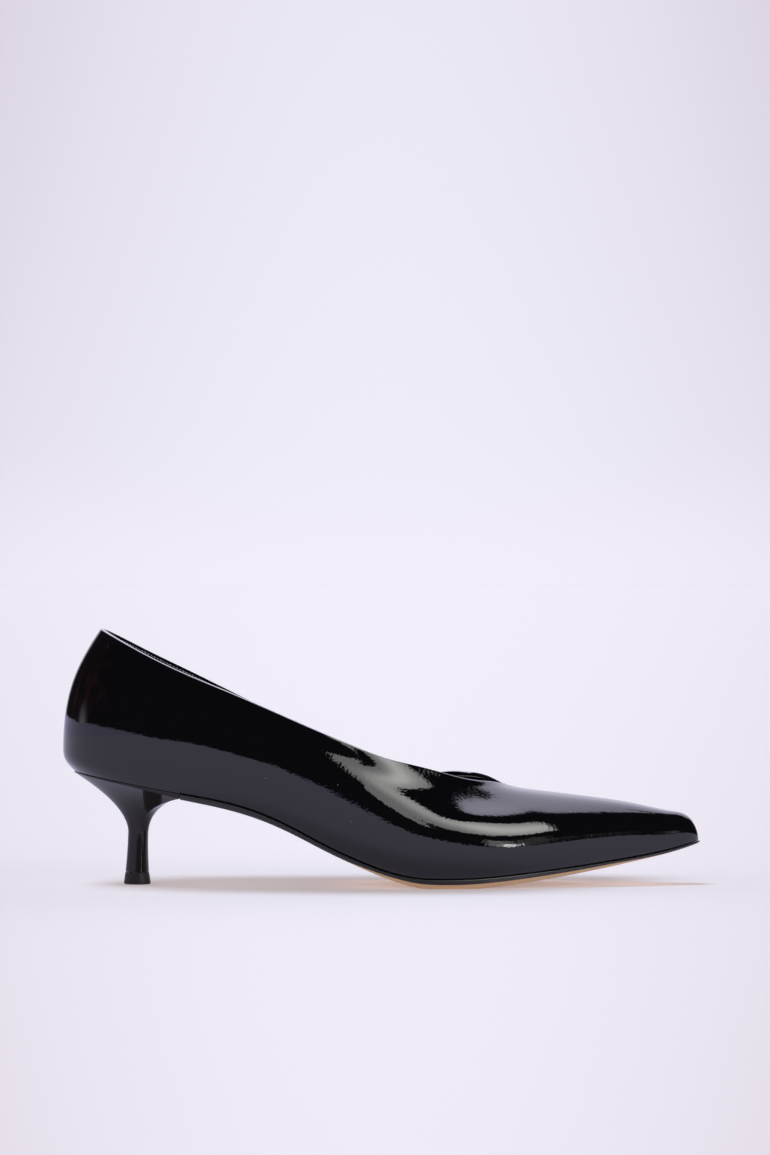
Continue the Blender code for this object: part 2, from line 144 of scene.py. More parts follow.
# Heel and top lift
BREAST_X = 49.5
HEEL_INSET = 0.2
LIP_BACK = 0.4
LIP_BREAST = 2.0
NECK_TOP = 32.3
NECK_Z = 21.5
STEM_FOOT = 5.2
LIFT_TOP = 4.9
LIFT_PROUD = 0.1
LIFT_FLARE = 0.75
LIFT_EDGE = 0.4

# Mesh density
REAR_COLUMNS = 300
REAR_CROWD = 1.4
FRONT_COLUMNS = 150
FRONT_CROWD = 0.8
SKIN_ROWS = 60
SKIN_CROWD = 1.15
INNER_ROWS = 15
INNER_CROWD = 1.3
LINING_SHARE = 2
LINING_ROWS = 30
LINING_CROWD = 1.3
PLATE_SHARE = 2
PLATE_ACROSS = 12
EDGE_STEP = 0.2
SEAT_COLUMNS = 60
BREAST_COLUMNS = 24
FLARE_ROWS = 60
STEM_ROWS_FINE = 40
STITCH_RINGS = 6
STITCH_SIDES = 8
WELD = 1e-6
SHARP_EDGE = math.radians(40)
RUN_SAMPLES = 6001
CUT_SAMPLES = 500
SLOPE_STEP = 0.05
CHUNK = 1000

# Sections of the last, as in the part: widths to the widest line, the feather edge's inset, the widest
# line's height, the ridge's height and place, and how full the shoulder is
LAST_COLUMNS = ("x", "lateral", "medial", "under_lateral", "under_medial", "up", "crown", "shift",
                "roof")
LAST_ROWS = (
    (0, 0, 0, 0, 0, 17, 124, 0, 0),
    (5, 14.6, 14.6, 1.9, 1.9, 17.5, 124, 0, 0),
    (14, 22.6, 22.4, 3, 3, 18.5, 123.5, 0, 0),
    (30, 28.2, 27.8, 3.8, 3.8, 19.5, 122, 0, 0),
    (52, 29.4, 28.2, 4.2, 5, 20, 118, 0, 0),
    (78, 29.6, 26.8, 5, 7, 19.8, 112, 0.5, 0),
    (104, 32, 27.6, 5.4, 7.4, 21.3, 101, 0.8, 0),
    (128, 36.2, 31, 4.8, 6.2, 20.5, 80, 1.2, -0.03),
    (150, 39.2, 35, 4, 4.8, 17, 59.4, 1.6, -0.06),
    (168, 38.9, 36.9, 3.6, 4, 13.9, 47.8, 1.6, -0.07),
    (184, 35.6, 34.7, 3.2, 3.4, 11.6, 41.7, 1.2, -0.07),
    (203, 28.9, 28.2, 2.8, 3, 11, 38.7, 0.6, -0.05),
    (222, 21.3, 20.7, 2.4, 2.5, 10.2, 36.4, 0.3, -0.03),
    (240, 14.3, 13.9, 1.9, 1.9, 8.4, 33.5, 0.1, -0.01),
    (254, 9, 8.8, 1.3, 1.3, 5.8, 30.6, 0, 0),
    (262, 5.3, 5.2, 0.8, 0.8, 3.8, 27.4, 0, 0),
    (UPPER_TIP, 0, 0, 0, 0, 0, 18.4, 0, 0),
)

# The quarters hollow softly under the topline beside the throat: the trough's middle, depth and spread.
# A second trough below it runs on into the vamp, where the leather has settled.
HOLLOW_COLUMNS = ("x", "z", "depth", "spread")
HOLLOW_ROWS = (
    (90, 64, 0, 3), (104, 59.4, 0.7, 3.2), (118, 54, 1.5, 3.6), (132, 48.4, 2.2, 4),
    (148, 44, 2.3, 4.4), (163, 42.6, 1.4, 4.8), (178, 42, 0, 5),
)
HOLLOW_LEAN = math.radians(35)
SETTLED_ROWS = (
    (126, 43, 0, 4), (138, 39.5, 0.6, 4), (148, 37, 1.1, 4), (156, 35.4, 1.6, 4.2),
    (165, 35, 1.8, 4.4), (175, 35.5, 1.3, 4.4), (185, 36, 0.5, 4.4), (196, 37, 0, 4.4),
)
SETTLED_LEAN = math.radians(40)

# Feather edge along the shoe: seat, arch, ball and toe spring
BOTTOM_COLUMNS = ("x", "z")
BOTTOM_ROWS = (
    (4.5, 47.6), (20, 44.6), (36, 41.5), (52, 38.4), (65, 35.9), (80, 31.7), (95, 25.2),
    (110, 17.4), (125, 10.7), (138, 6.2), (148, 4.3), (158, 3.9), (170, 4.1), (186, 5.3),
    (204, 7.3), (222, 9.7), (240, 12.4), (254, 15.2), (UPPER_TIP, 18.4),
)

# Back curve: how far the heel back is set forward at each height over the seat
BACK_COLUMNS = ("height", "forward")
BACK_ROWS = ((0, 4.5), (4, 1.1), (9.5, 0), (20, 0.5), (34, 3), (46, 7.8), (60, 16.3),
             (76, 28))

# Collar edge over the floor, on the outer and the inner side
COLLAR_COLUMNS = ("x", "lateral", "medial")
COLLAR_ROWS = (
    (16.7, 106.9, 106.9), (36, 96.4, 96.8), (52.6, 88.5, 88.7), (70, 81.2, 80), (90, 72.6, 70.2),
    (110, 63.9, 61.2), (130, 55.9, 53.2), (150, 49.3, 47.8), (166, 45.2, 46.7),
)

# Sole thickness along the shoe, from the breast to the toe
SOLE_COLUMNS = ("x", "thick")
SOLE_ROWS = ((52, 2.4), (75, 2.7), (100, 2.3), (125, 2.3), (140, 3), (152, 3.9),
             (174, 3.9), (205, 3.1), (225, 2.3), (242, 1.5), (266, 1))

# Heel stem from neck to foot: back and front of its oval, where it is widest and half its width
STEM_COLUMNS = ("z", "back", "front", "widest", "half")
STEM_ROWS = ((STEM_FOOT, 26.1, 35.9, 32, 5), (12, 26.7, 35.6, 32, 4.72),
             (NECK_Z, 27.2, 35.6, 32, 4.38), (NECK_TOP, 27.4, 36.3, 32.2, 4.2))


def table(names, rows):
    """Columns of a table by name."""
    return dict(zip(names, np.array(rows, float).T))


def spline(knots, values, level_start=False):
    """Smooth cubic curve through a column of values; its start may be held level."""
    step = np.diff(knots)
    slope = np.diff(values) / step
    count = len(knots)
    matrix = np.eye(count)
    right = np.zeros(count)
    for i in range(1, count - 1):
        matrix[i, i - 1:i + 2] = step[i - 1], 2 * (step[i - 1] + step[i]), step[i]
        right[i] = 6 * (slope[i] - slope[i - 1])
    if level_start:
        matrix[0, :2] = 2 * step[0], step[0]
        right[0] = 6 * slope[0]
    bend = np.linalg.solve(matrix, right)

    def at(place):
        place = np.asarray(place, float)
        i = np.clip(np.searchsorted(knots, place) - 1, 0, count - 2)
        u = (place - knots[i]) / step[i]
        curve = ((1 - u) ** 3 - (1 - u)) * bend[i] + (u ** 3 - u) * bend[i + 1]
        return values[i] * (1 - u) + values[i + 1] * u + step[i] ** 2 / 6 * curve

    return at


def smooth(value):
    """Soft step from 0 to 1."""
    value = np.clip(value, 0, 1)
    return value * value * (3 - 2 * value)


def ramp(value, limits):
    """Soft step from 0 at the first limit to 1 at the second."""
    return smooth((value - limits[0]) / (limits[1] - limits[0]))


def on_line(place, knots):
    """Value at a place on a line of straight stretches between knots."""
    return np.interp(place, *np.array(knots).T)


def run_samples():
    """The run along the shoe and its x: both ends are round, so x starts and ends level."""
    run = np.linspace(0, RUN_END, RUN_SAMPLES)
    left = RUN_END - run
    speed = run / np.hypot(run, HEEL_ROUND) * left / np.hypot(left, TOE_ROUND)
    x = np.concatenate(([0.0], np.cumsum((speed[1:] + speed[:-1]) / 2 * np.diff(run))))
    return run, x * UPPER_TIP / x[-1]


RUN, RUN_X = run_samples()
LAST = table(LAST_COLUMNS, LAST_ROWS)
BOTTOM = table(BOTTOM_COLUMNS, BOTTOM_ROWS)
BACK = table(BACK_COLUMNS, BACK_ROWS)
COLLAR = table(COLLAR_COLUMNS, COLLAR_ROWS)
SOLE = table(SOLE_COLUMNS, SOLE_ROWS)
STEM = table(STEM_COLUMNS, STEM_ROWS)

bottom_z = spline(BOTTOM["x"], BOTTOM["z"])
set_forward = spline(BACK["height"], BACK["forward"])
sole_thick = spline(SOLE["x"], SOLE["thick"])
collar_z = {side: spline(COLLAR["x"], COLLAR[name]) for side, name in SIDES.items()}
stem = {name: spline(STEM["z"], STEM[name]) for name in STEM_COLUMNS[1:]}

last_runs = np.interp(LAST["x"], RUN_X, RUN)
last = {name: spline(last_runs, LAST[name], name == "up") for name in LAST_COLUMNS[1:]}


def forward_share(run):
    """How much of the back curve a section still takes, fading forwards from the heel back."""
    return np.exp(-(run / SET_FADE) ** 2)


def seat_x(run):
    """Where a section's feather edge lies along the shoe."""
    return np.interp(run, RUN, RUN_X) + BACK["forward"][0] * forward_share(run)


row_rise = LAST["crown"] - bottom_z(seat_x(last_runs))
crown_rise = spline(last_runs, row_rise, True)


def trough(rows):
    """How far the skin is pressed in by a soft trough, at a place along the shoe and a height."""
    values = table(HOLLOW_COLUMNS, rows)
    curve = {name: spline(values["x"], values[name]) for name in HOLLOW_COLUMNS[1:]}

    def depth(x, z):
        along = np.clip(x, values["x"][0], values["x"][-1])
        off = (z - curve["z"](along)) / curve["spread"](along)
        return np.maximum(curve["depth"](along), 0) * np.exp(-off ** 2 / 2)

    return depth


TROUGHS = ((trough(HOLLOW_ROWS), HOLLOW_LEAN), (trough(SETTLED_ROWS), SETTLED_LEAN))


def skin(run, turn, side):
    """Outer face of the leather at a run along the shoe and a turn up the section, on one side."""
    half = last[SIDES[side]](run)
    under = last["under_" + SIDES[side]](run)
    up = last["up"](run)
    across = half - side * last["shift"](run)
    above = crown_rise(run) - up
    share = 0.5 * (1 + np.tanh(turn / ROLL_BLEND))
    reach_y = (1 - share) * under / (1 - math.cos(ROLL_UNDER)) + share * across
    reach_z = (1 - share) * up / math.sin(ROLL_UNDER) + share * above
    shoulder = ROOF_SCALE * last["roof"](run) * np.maximum(np.sin(turn), 0) ** 3 * np.cos(turn) ** 2
    y = half - reach_y * (1 - np.cos(turn)) + shoulder * across
    height = up + reach_z * np.sin(turn) + shoulder * above
    x = np.interp(run, RUN, RUN_X) + set_forward(height) * forward_share(run)
    from_lip = ((x - LIP_X) / LIP_LONG) ** 4 + ((side * y - LIP_Y) / LIP_BROAD) ** 2
    height = height + LIP_RISE * np.exp(-from_lip) * np.maximum(np.sin(turn), 0)
    z = bottom_z(seat_x(run)) + height
    for depth, lean in TROUGHS:
        deep = depth(x, z)
        y = y - deep * math.cos(lean)
        z = z - deep * math.sin(lean)
    return np.stack(np.broadcast_arrays(x, side * y, z), -1)


def skin_normal(run, turn, side):
    """Direction straight out of the skin."""
    run = np.asarray(run, float)
    ahead = skin(np.minimum(run + SLOPE_STEP, RUN_END), turn, side)
    behind = skin(np.maximum(run - SLOPE_STEP, 0), turn, side)
    round_section = skin(run, turn + SLOPE_STEP, side) - skin(run, turn - SLOPE_STEP, side)
    normal = side * np.cross(round_section, ahead - behind)
    at_back = np.broadcast_to(run == 0, normal.shape[:-1])
    normal[at_back, 1] = 0.0
    return normal / np.maximum(np.linalg.norm(normal, axis=-1, keepdims=True), WELD)


def collar_turn(run, side, drop=0.0):
    """Turn at which the collar or the V throat, or a line below it, cuts a section; else the crown."""
    turns = np.linspace(-ROLL_UNDER / 2, math.pi / 2, CUT_SAMPLES)
    points = skin(run, turns, side)
    behind = np.maximum(THROAT_X + drop - points[:, 0], 0)
    vee = THROAT_HALF[side] * (behind / THROAT_LENGTH) ** THROAT_CURVE
    vee += THROAT_WIDEN * drop * np.minimum(behind / THROAT_WIDEN_BY, 1)
    share = ramp(points[:, 0], THROAT_BLEND)
    by_height = points[:, 2] + drop - collar_z[side](points[:, 0])
    by_width = vee - np.abs(points[:, 1] - last["shift"](run))
    cut = (1 - share) * by_height + share * by_width
    past = np.nonzero(cut > 0)[0]
    if len(past) == 0:
        return math.pi / 2
    i = past[0]
    return float(np.interp(0, cut[i - 1:i + 1], turns[i - 1:i + 1]))


def ring(run, side, out):
    """Feather edge of one side in plan, moved outwards (or inwards, below zero) square to itself."""
    here = skin(run, -ROLL_UNDER, side)[:2]
    ahead = skin(min(run + SLOPE_STEP, RUN_END), -ROLL_UNDER, side)[:2]
    behind = skin(max(run - SLOPE_STEP, 0), -ROLL_UNDER, side)[:2]
    tangent = (ahead - behind) / np.linalg.norm(ahead - behind)
    if run in (0, RUN_END):
        tangent = np.array((0.0, side if run == 0 else -side))
    return here + out * side * np.array((-tangent[1], tangent[0]))


def columns():
    """Runs of the fine mesh columns: closer at the throat's point and at the toe."""
    throat_run = float(np.interp(THROAT_X, RUN_X, RUN))
    rear = throat_run * (1 - np.linspace(1, 0, REAR_COLUMNS + 1) ** REAR_CROWD)
    v = np.linspace(0, 1, FRONT_COLUMNS + 1)[1:]
    front = v - FRONT_CROWD * np.sin(2 * math.pi * v) / (2 * math.pi)
    runs = np.concatenate((rear, throat_run + (RUN_END - throat_run) * front))
    runs[-1] = RUN_END
    return runs


COLUMNS = columns()


def shares(count, crowd):
    """Places of rows from the feather edge (0) to the top (1), closer at the top."""
    return 1 - np.linspace(1, 0, count + 1) ** crowd


# Making objects

def make_object(name, points, faces, material, fold=None):
    """A closed mesh piece from points on the last, welded, facing out, riding on the body."""
    data = bpy.data.meshes.new(name)
    placed = (np.asarray(points, float) + ORIGIN) * MM
    data.from_pydata(placed.tolist(), [], faces)
    if fold is not None:
        data.attributes.new("fold", "FLOAT", "POINT").data.foreach_set("value", fold)
    work = bmesh.new()
    work.from_mesh(data)
    bmesh.ops.remove_doubles(work, verts=work.verts, dist=WELD)
    bmesh.ops.recalc_face_normals(work, faces=work.faces)
    work.to_mesh(data)
    work.free()
    data.shade_smooth()
    data.set_sharp_from_angle(angle=SHARP_EDGE)
    data.materials.append(material)
    piece = bpy.data.objects.new(name, data)
    bpy.context.scene.collection.objects.link(piece)
    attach(piece, BODY)
    return piece


class Sheets:
    """Grids of points gathered into one list of points and faces."""

    def __init__(self):
        self.points = []
        self.faces = []
        self.count = 0

    def grid(self, points):
        """Add a grid of points (columns, rows) with its faces, and return the points' numbers."""
        wide, high = points.shape[:2]
        numbers = self.count + np.arange(wide * high).reshape(wide, high)
        self.points.append(points.reshape(-1, 3))
        self.count += wide * high
        corners = (numbers[:-1, :-1], numbers[1:, :-1], numbers[1:, 1:], numbers[:-1, 1:])
        self.faces += np.stack(corners, -1).reshape(-1, 4).tolist()
        return numbers

    def strip(self, first, second):
        """Faces between two rows of points that are there already."""
        self.faces += np.stack((first[:-1], first[1:], second[1:], second[:-1]), -1).tolist()

    def cap(self, loop):
        """One face over a loop of points that are there already."""
        self.faces.append([int(number) for number in loop])

    def all_points(self):
        """The points of all grids in one list."""
        return np.concatenate(self.points)


# Upper

def collar_line():
    """Points of the topline on the skin: forwards on the outer side, round the throat and back."""
    rear = COLUMNS[:REAR_COLUMNS + 1]
    outer, inner = (
        np.array([skin(run, collar_turn(run, side), side) for run in rear]) for side in SIDES)
    return np.concatenate((outer, inner[-2::-1]))


def distance_to_line(points, line):
    """Distance of each point from a line of short stretches."""
    flat = points.reshape(-1, 3)
    start = line[:-1]
    stretch = line[1:] - start
    length = np.maximum((stretch ** 2).sum(-1), WELD)
    nearest = np.empty(len(flat))
    for first in range(0, len(flat), CHUNK):
        away = flat[first:first + CHUNK, None] - start
        along = np.clip((away * stretch).sum(-1) / length, 0, 1)
        nearest[first:first + CHUNK] = np.linalg.norm(away - along[..., None] * stretch, axis=-1).min(1)
    return nearest.reshape(points.shape[:-1])


def upper_grids(rows, edge_rows, line):
    """Skin, its normal and its distance from the topline, on both sides.

    The rows are shares up to the edge, then distances from the topline in millimetres.
    """
    edge_rows = np.array(edge_rows)
    for side in SIDES:
        tops = np.array([collar_turn(run, side) for run in COLUMNS])[:, None]
        below = skin(COLUMNS, tops[:, 0] - SLOPE_STEP, side)
        step = np.linalg.norm(skin(COLUMNS, tops[:, 0], side) - below, axis=-1)
        edge = tops - edge_rows * (SLOPE_STEP / np.maximum(step, SLOPE_STEP / 2))[:, None]
        body = -ROLL_UNDER + (edge[:, :1] + ROLL_UNDER) * rows[:-1]
        turns = np.concatenate((body, edge), axis=1)
        runs = np.broadcast_to(COLUMNS[:, None], turns.shape)
        points = skin(runs, turns, side)
        near = distance_to_line(points, line)
        yield side, points, skin_normal(runs, turns, side), near


def bead_height(points, near):
    """How far the folded edge beside the throat stands out of the skin."""
    where = ramp(points[..., 0], BEAD_FROM) * ramp(points[..., 0], BEAD_TO)
    return BEAD * where * (np.exp(-(near / BEAD_REACH) ** 2) - np.exp(-(near / BEAD_ROUND) ** 2))


def lasting_width(run, side):
    """Width of the turned-in lasting margin, narrower where the shoe is."""
    half = abs(skin(run, -ROLL_UNDER, side)[1])
    return LASTING_TOE + LASTING_SIDE * half / (half + LASTING_HALF)


def make_upper(material):
    """Patent leather: skin, folded topline with its turned-in strip, inner face and lasting margin."""
    line = collar_line()
    sheets = Sheets()
    outer = {}
    fold = []
    rows = shares(SKIN_ROWS, SKIN_CROWD)
    for side, points, normal, near in upper_grids(rows, OUTER_EDGE_ROWS, line):
        raised = bead_height(points, near) if side == LATERAL else 0.0
        outer[side] = sheets.grid(points + (raised - on_line(near, FOLD_OUTER))[..., None] * normal)
        # The 'fold' share marks the folded edge: the film's ripple is calmed there and a brighter
        # highlight painted on it
        fold.append(1 - smooth((near - FOLD_PLAIN) / FOLD_PLAIN))
    rows = shares(INNER_ROWS, INNER_CROWD)
    for side, points, normal, near in upper_grids(rows, INNER_EDGE_ROWS, line):
        strip_share = 1 - smooth((near - STRIP) / STRIP_STEP)
        depth = strip_share * on_line(near, FOLD_INNER) + (1 - strip_share) * PATENT
        inside = points - depth[..., None] * normal
        inside[..., 2] = np.maximum(inside[..., 2], bottom_z(inside[..., 0]) + PATENT)
        tip_x = UPPER_TIP - PATENT
        inside[-1] = (tip_x, 0.0, float(bottom_z(tip_x)) + PATENT)
        inner = sheets.grid(inside)
        plan = np.array([ring(run, side, -lasting_width(run, side)) for run in COLUMNS])
        floor = np.column_stack((plan, bottom_z(plan[:, 0])))
        margin = sheets.grid(np.stack((floor, floor + (0, 0, PATENT)), 1))
        sheets.strip(outer[side][:, 0], margin[:, 0])
        sheets.strip(margin[:, 1], inner[:, 0])
    on_skin = np.concatenate(fold, axis=None)
    folded = np.zeros(sheets.count)
    folded[:len(on_skin)] = on_skin
    piece = make_object("upper_patent", sheets.all_points(), sheets.faces, material, folded)
    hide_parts("upper")


def make_lining(material):
    """Quarter and vamp lining: a thin shell inside the leather that ends under the turned-in strip."""
    runs = COLUMNS[::LINING_SHARE]
    runs = runs[runs < np.interp(LINING_FRONT, RUN_X, RUN)]
    rows = shares(LINING_ROWS, LINING_CROWD)
    sheets = Sheets()
    for side in SIDES:
        tops = np.array([collar_turn(run, side, STRIP) for run in runs])
        turns = LINING_START + (tops[:, None] - LINING_START) * rows
        grid_runs = np.broadcast_to(runs[:, None], turns.shape)
        points = skin(grid_runs, turns, side)
        normal = skin_normal(grid_runs, turns, side)
        back = sheets.grid(points - (PATENT + LINING_GAP) * normal)
        front = sheets.grid(points - (WALL + LINING_PROUD) * normal)
        sheets.strip(back[:, 0], front[:, 0])
        sheets.strip(back[-1], front[-1])
        open_to = int(np.count_nonzero(tops < math.pi / 2)) + 1
        sheets.strip(back[:open_to, -1], front[:open_to, -1])
    piece = make_object("quarter_lining", sheets.all_points(), sheets.faces, material)


def make_stitches(material):
    """Row of stitches through the lining under the topline, each a short rounded thread."""
    rear = COLUMNS[:REAR_COLUMNS + 1]
    places, outs = [], []
    for side in SIDES:
        turns = np.array([collar_turn(run, side, STITCH_DROP) for run in rear])
        normal = skin_normal(rear, turns, side)
        point = skin(rear, turns, side) - (WALL + LINING_PROUD) * normal
        order = slice(None) if side == LATERAL else slice(-2, None, -1)
        places.append(point[order])
        outs.append(normal[order])
    line, out = np.concatenate(places), np.concatenate(outs)
    way = np.concatenate(([0.0], np.cumsum(np.linalg.norm(np.diff(line, axis=0), axis=1))))
    sheets = Sheets()
    angles = np.linspace(0, 2 * math.pi, STITCH_SIDES + 1)
    lengths = np.linspace(-1, 1, STITCH_RINGS + 1)

    def at(place, values):
        return np.array([np.interp(place, way, values[:, axis]) for axis in range(3)])

    for middle in np.arange(STITCH_PITCH, way[-1] - STITCH_PITCH, STITCH_PITCH):
        centre = at(middle, line)
        along = at(middle + STITCH_LONG / 2, line) - at(middle - STITCH_LONG / 2, line)
        along /= np.linalg.norm(along)
        normal = at(middle, out)
        normal -= along * (normal @ along)
        normal /= np.linalg.norm(normal)
        across = np.cross(normal, along)
        leaning = along * math.cos(STITCH_SLANT) + across * math.sin(STITCH_SLANT)
        beside = np.cross(normal, leaning)
        girth = STITCH_THICK / 2 * np.sqrt(1 - (lengths * STITCH_BLUNT) ** 4)
        centres = centre + lengths[:, None] * leaning * STITCH_LONG / 2
        turning = np.cos(angles)[:, None] * normal + np.sin(angles)[:, None] * beside
        numbers = sheets.grid(centres[:, None] + girth[:, None, None] * turning)
        sheets.cap(numbers[0, :-1])
        sheets.cap(numbers[-1, :-1])
    piece = make_object("collar_stitches", sheets.all_points(), sheets.faces, material)


# Sock and sole

def make_plate(name, runs, rows, material, capped):
    """A plate across the shoe from the edge points of each side; capped where its back end is square."""
    inner = np.linspace(0, 1, PLATE_ACROSS + 1)[1:-1, None]
    rings = []
    for run in runs:
        near, far = (np.array(rows(run, side)) for side in SIDES)
        above = near[0] + (far[0] - near[0]) * inner
        below = far[-1] + (near[-1] - far[-1]) * inner
        rings.append(np.concatenate((near[::-1], above, far, below, near[-1:])))
    sheets = Sheets()
    numbers = sheets.grid(np.array(rings))
    if capped:
        sheets.cap(numbers[0, :-1])
    return make_object(name, sheets.all_points(), sheets.faces, material)


def lining_face(run, side):
    """Inner face of the wall low in a section, as the insole meets it."""
    turns = np.linspace(-ROLL_UNDER, BOARD_TURN, CUT_SAMPLES)
    inner = skin(run, turns, side) - WALL * skin_normal(np.full(len(turns), run), turns, side)
    inner[:, 2] = np.maximum(inner[:, 2], bottom_z(inner[:, 0]) + WALL)
    return inner


def make_sock(material):
    """Insole board with its sock, soft along its upper edge."""
    low = WALL + GAP
    high = low + BOARD
    soft = BOARD_SOFT * np.linspace(0, 1, BOARD_SOFT_ROWS)
    insets = BOARD_CLEAR + BOARD_SOFT - np.sqrt(BOARD_SOFT ** 2 - (BOARD_SOFT - soft) ** 2)

    def rows(run, side):
        if run == RUN_END:
            tip_x = UPPER_TIP - WALL - BOARD_CLEAR_TIP
            return [(tip_x, 0.0, float(bottom_z(tip_x)) + height) for height in (*(high - soft), low)]
        inner = lining_face(run, side)
        reach = np.maximum.accumulate(inner[:, 2] - bottom_z(inner[:, 0]))
        square = ring(run, side, -1) - ring(run, side, 0)

        def at(height, inset):
            x = float(np.interp(height, reach, inner[:, 0])) + inset * square[0]
            y = float(np.interp(height, reach, inner[:, 1])) + inset * square[1]
            return x, y, float(bottom_z(x)) + height

        return [*map(at, high - soft, insets), at(low, BOARD_CLEAR)]

    runs = np.unique(np.append(COLUMNS[::PLATE_SHARE], RUN_END))
    piece = make_plate("sock", runs, rows, material, False)
    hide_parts("insole")


def sole_profile():
    """The sole's edge, from its top down and under: how far out and which share of the thickness."""
    knots = np.array(SOLE_EDGE)
    way = np.concatenate(([0.0], np.cumsum(np.hypot(*np.diff(knots * (1, SOLE_EDGE_HIGH), axis=0).T))))
    steps = np.unique(np.append(np.arange(0, way[-1], EDGE_STEP), way))
    return np.column_stack((np.interp(steps, way, knots[:, 0]), np.interp(steps, way, knots[:, 1])))


def make_outsole(material):
    """Leather outsole with its painted edge; the attribute 'paint' says where the edge is black."""
    start = float(np.interp(BREAST_X + GAP, seat_x(RUN), RUN))
    runs = COLUMNS[::PLATE_SHARE]
    runs = np.unique(np.concatenate(([start], runs[runs > start], [RUN_END])))
    profile = sole_profile()

    def rows(run, side):
        points = []
        for out, share in profile:
            x, y = ring(run, side, out)
            top = float(bottom_z(x)) - GAP
            points.append((x, y, max(top - share * float(sole_thick(x)), 0.0)))
        return points

    piece = make_plate("outsole_leather", runs, rows, material, True)
    paint = piece.data.attributes.new("paint", "FLOAT", "POINT")
    place = np.array([v.co for v in piece.data.vertices]) / MM - ORIGIN
    share = (bottom_z(place[:, 0]) - GAP - place[:, 2]) / sole_thick(place[:, 0])
    limit = on_line(place[:, 0], PAINT_TO)
    paint.data.foreach_set("value", smooth((limit - share) / PAINT_SOFT + 0.5))
    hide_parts("outsole")


# Heel and top lift

def stem_outline(z):
    """Oval of the heel stem at a height: points as many and in the same order as the seat's outline."""
    size = {name: float(curve(z)) for name, curve in stem.items()}
    back = np.linspace(-math.pi / 2, math.pi / 2, 2 * SEAT_COLUMNS + 1)
    front = np.linspace(math.pi / 2, -math.pi / 2, BREAST_COLUMNS + 1)[1:-1]
    x = np.concatenate((size["widest"] - (size["widest"] - size["back"]) * np.cos(back),
                        size["widest"] + (size["front"] - size["widest"]) * np.cos(front)))
    y = size["half"] * np.concatenate((np.sin(back), np.sin(front)))
    return np.column_stack((x, y))


def seat_outline():
    """Outline of the heel under the seat: the feather edge round the back and a straight breast line."""
    end = float(np.interp(BREAST_X, seat_x(RUN), RUN))
    runs = end * np.linspace(0, 1, SEAT_COLUMNS + 1)
    around = [ring(run, LATERAL, -HEEL_INSET) for run in runs[:0:-1]]
    around += [ring(run, MEDIAL, -HEEL_INSET) for run in runs]
    first, last_point = around[0], around[-1]
    for share in np.linspace(0, 1, BREAST_COLUMNS + 1)[1:-1]:
        around.append(last_point + (first - last_point) * share)
    return np.array(around)


def make_stack(name, levels, material):
    """A solid from closed outlines stacked on each other, closed at both ends."""
    levels = np.array(levels)
    sheets = Sheets()
    numbers = sheets.grid(np.concatenate((levels, levels[:, :1]), axis=1))
    for level in (0, -1):
        around = numbers[level, :-1]
        for i in range(SEAT_COLUMNS):
            far = 2 * SEAT_COLUMNS - i
            sheets.cap((around[i], around[i + 1], around[far - 1], around[far]))
        sheets.cap((around[0], *around[2 * SEAT_COLUMNS:]))
    return make_object(name, sheets.all_points(), sheets.faces, material)


def level_at(outline, z):
    """An outline's points at one height."""
    return np.column_stack((outline, np.full(len(outline), z)))


def make_heel(material):
    """Kitten heel: the seat flares in to a slim stem, down to the top lift."""
    seat = seat_outline()
    top = np.column_stack((seat, bottom_z(seat[:, 0]) - GAP))
    lip = top.copy()
    lip[:, 2] -= LIP_BACK + (LIP_BREAST - LIP_BACK) * (seat[:, 0] / BREAST_X) ** 2
    shoulder = level_at(stem_outline(NECK_TOP), NECK_TOP)
    neck = level_at(stem_outline(NECK_Z), NECK_Z)
    levels = [top]
    for u in np.linspace(0, 1, FLARE_ROWS + 1):
        levels.append((1 - u) ** 2 * lip + 2 * u * (1 - u) * shoulder + u * u * neck)
    for z in np.linspace(NECK_Z, STEM_FOOT, STEM_ROWS_FINE + 1)[1:]:
        levels.append(level_at(stem_outline(z), z))
    piece = make_stack("heel_lacquered", levels, material)
    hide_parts("heel")


def make_lift(material):
    """Top lift: the stem's foot outline, flared down to its flat tread."""
    foot = stem_outline(STEM_FOOT)
    middle = foot.mean(axis=0)
    away = (foot - middle) / np.linalg.norm(foot - middle, axis=1)[:, None]
    levels = []
    for out, z in ((LIFT_PROUD, LIFT_TOP), (LIFT_FLARE, LIFT_EDGE), (LIFT_FLARE - LIFT_EDGE, 0.0)):
        levels.append(level_at(foot + out * away, z))
    piece = make_stack("top_lift_rubber", levels, material)
    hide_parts("top_lift")


# Materials

# Numbers of a colour mix node's share, colours and result
MIX_INPUTS = (0, 6, 7)
MIX_OUTPUT = 2

# Patent film: where along the shoe its ripple grows (metres), how weak it is behind that, and its coat
# IOR on the skin and on the fold, where it is raised to paint a brighter highlight along the topline
RIPPLE_GROWS = (-0.055, 0.005)
RIPPLE_BEHIND = 0.18
FOLD_FROM = (0.85, 1.0)
SKIN_COAT_IOR = 1.5
FOLD_HIGHLIGHT_IOR = 2.8

# Dust: cells below this share have none
DUST_FROM = 0.55

# Sole: roughness of the bare leather and of the paint, and how much the fibres show
TAN_ROUGH = 0.58
PAINT_ROUGH = 0.36
FIBRE_SHARE = 0.3


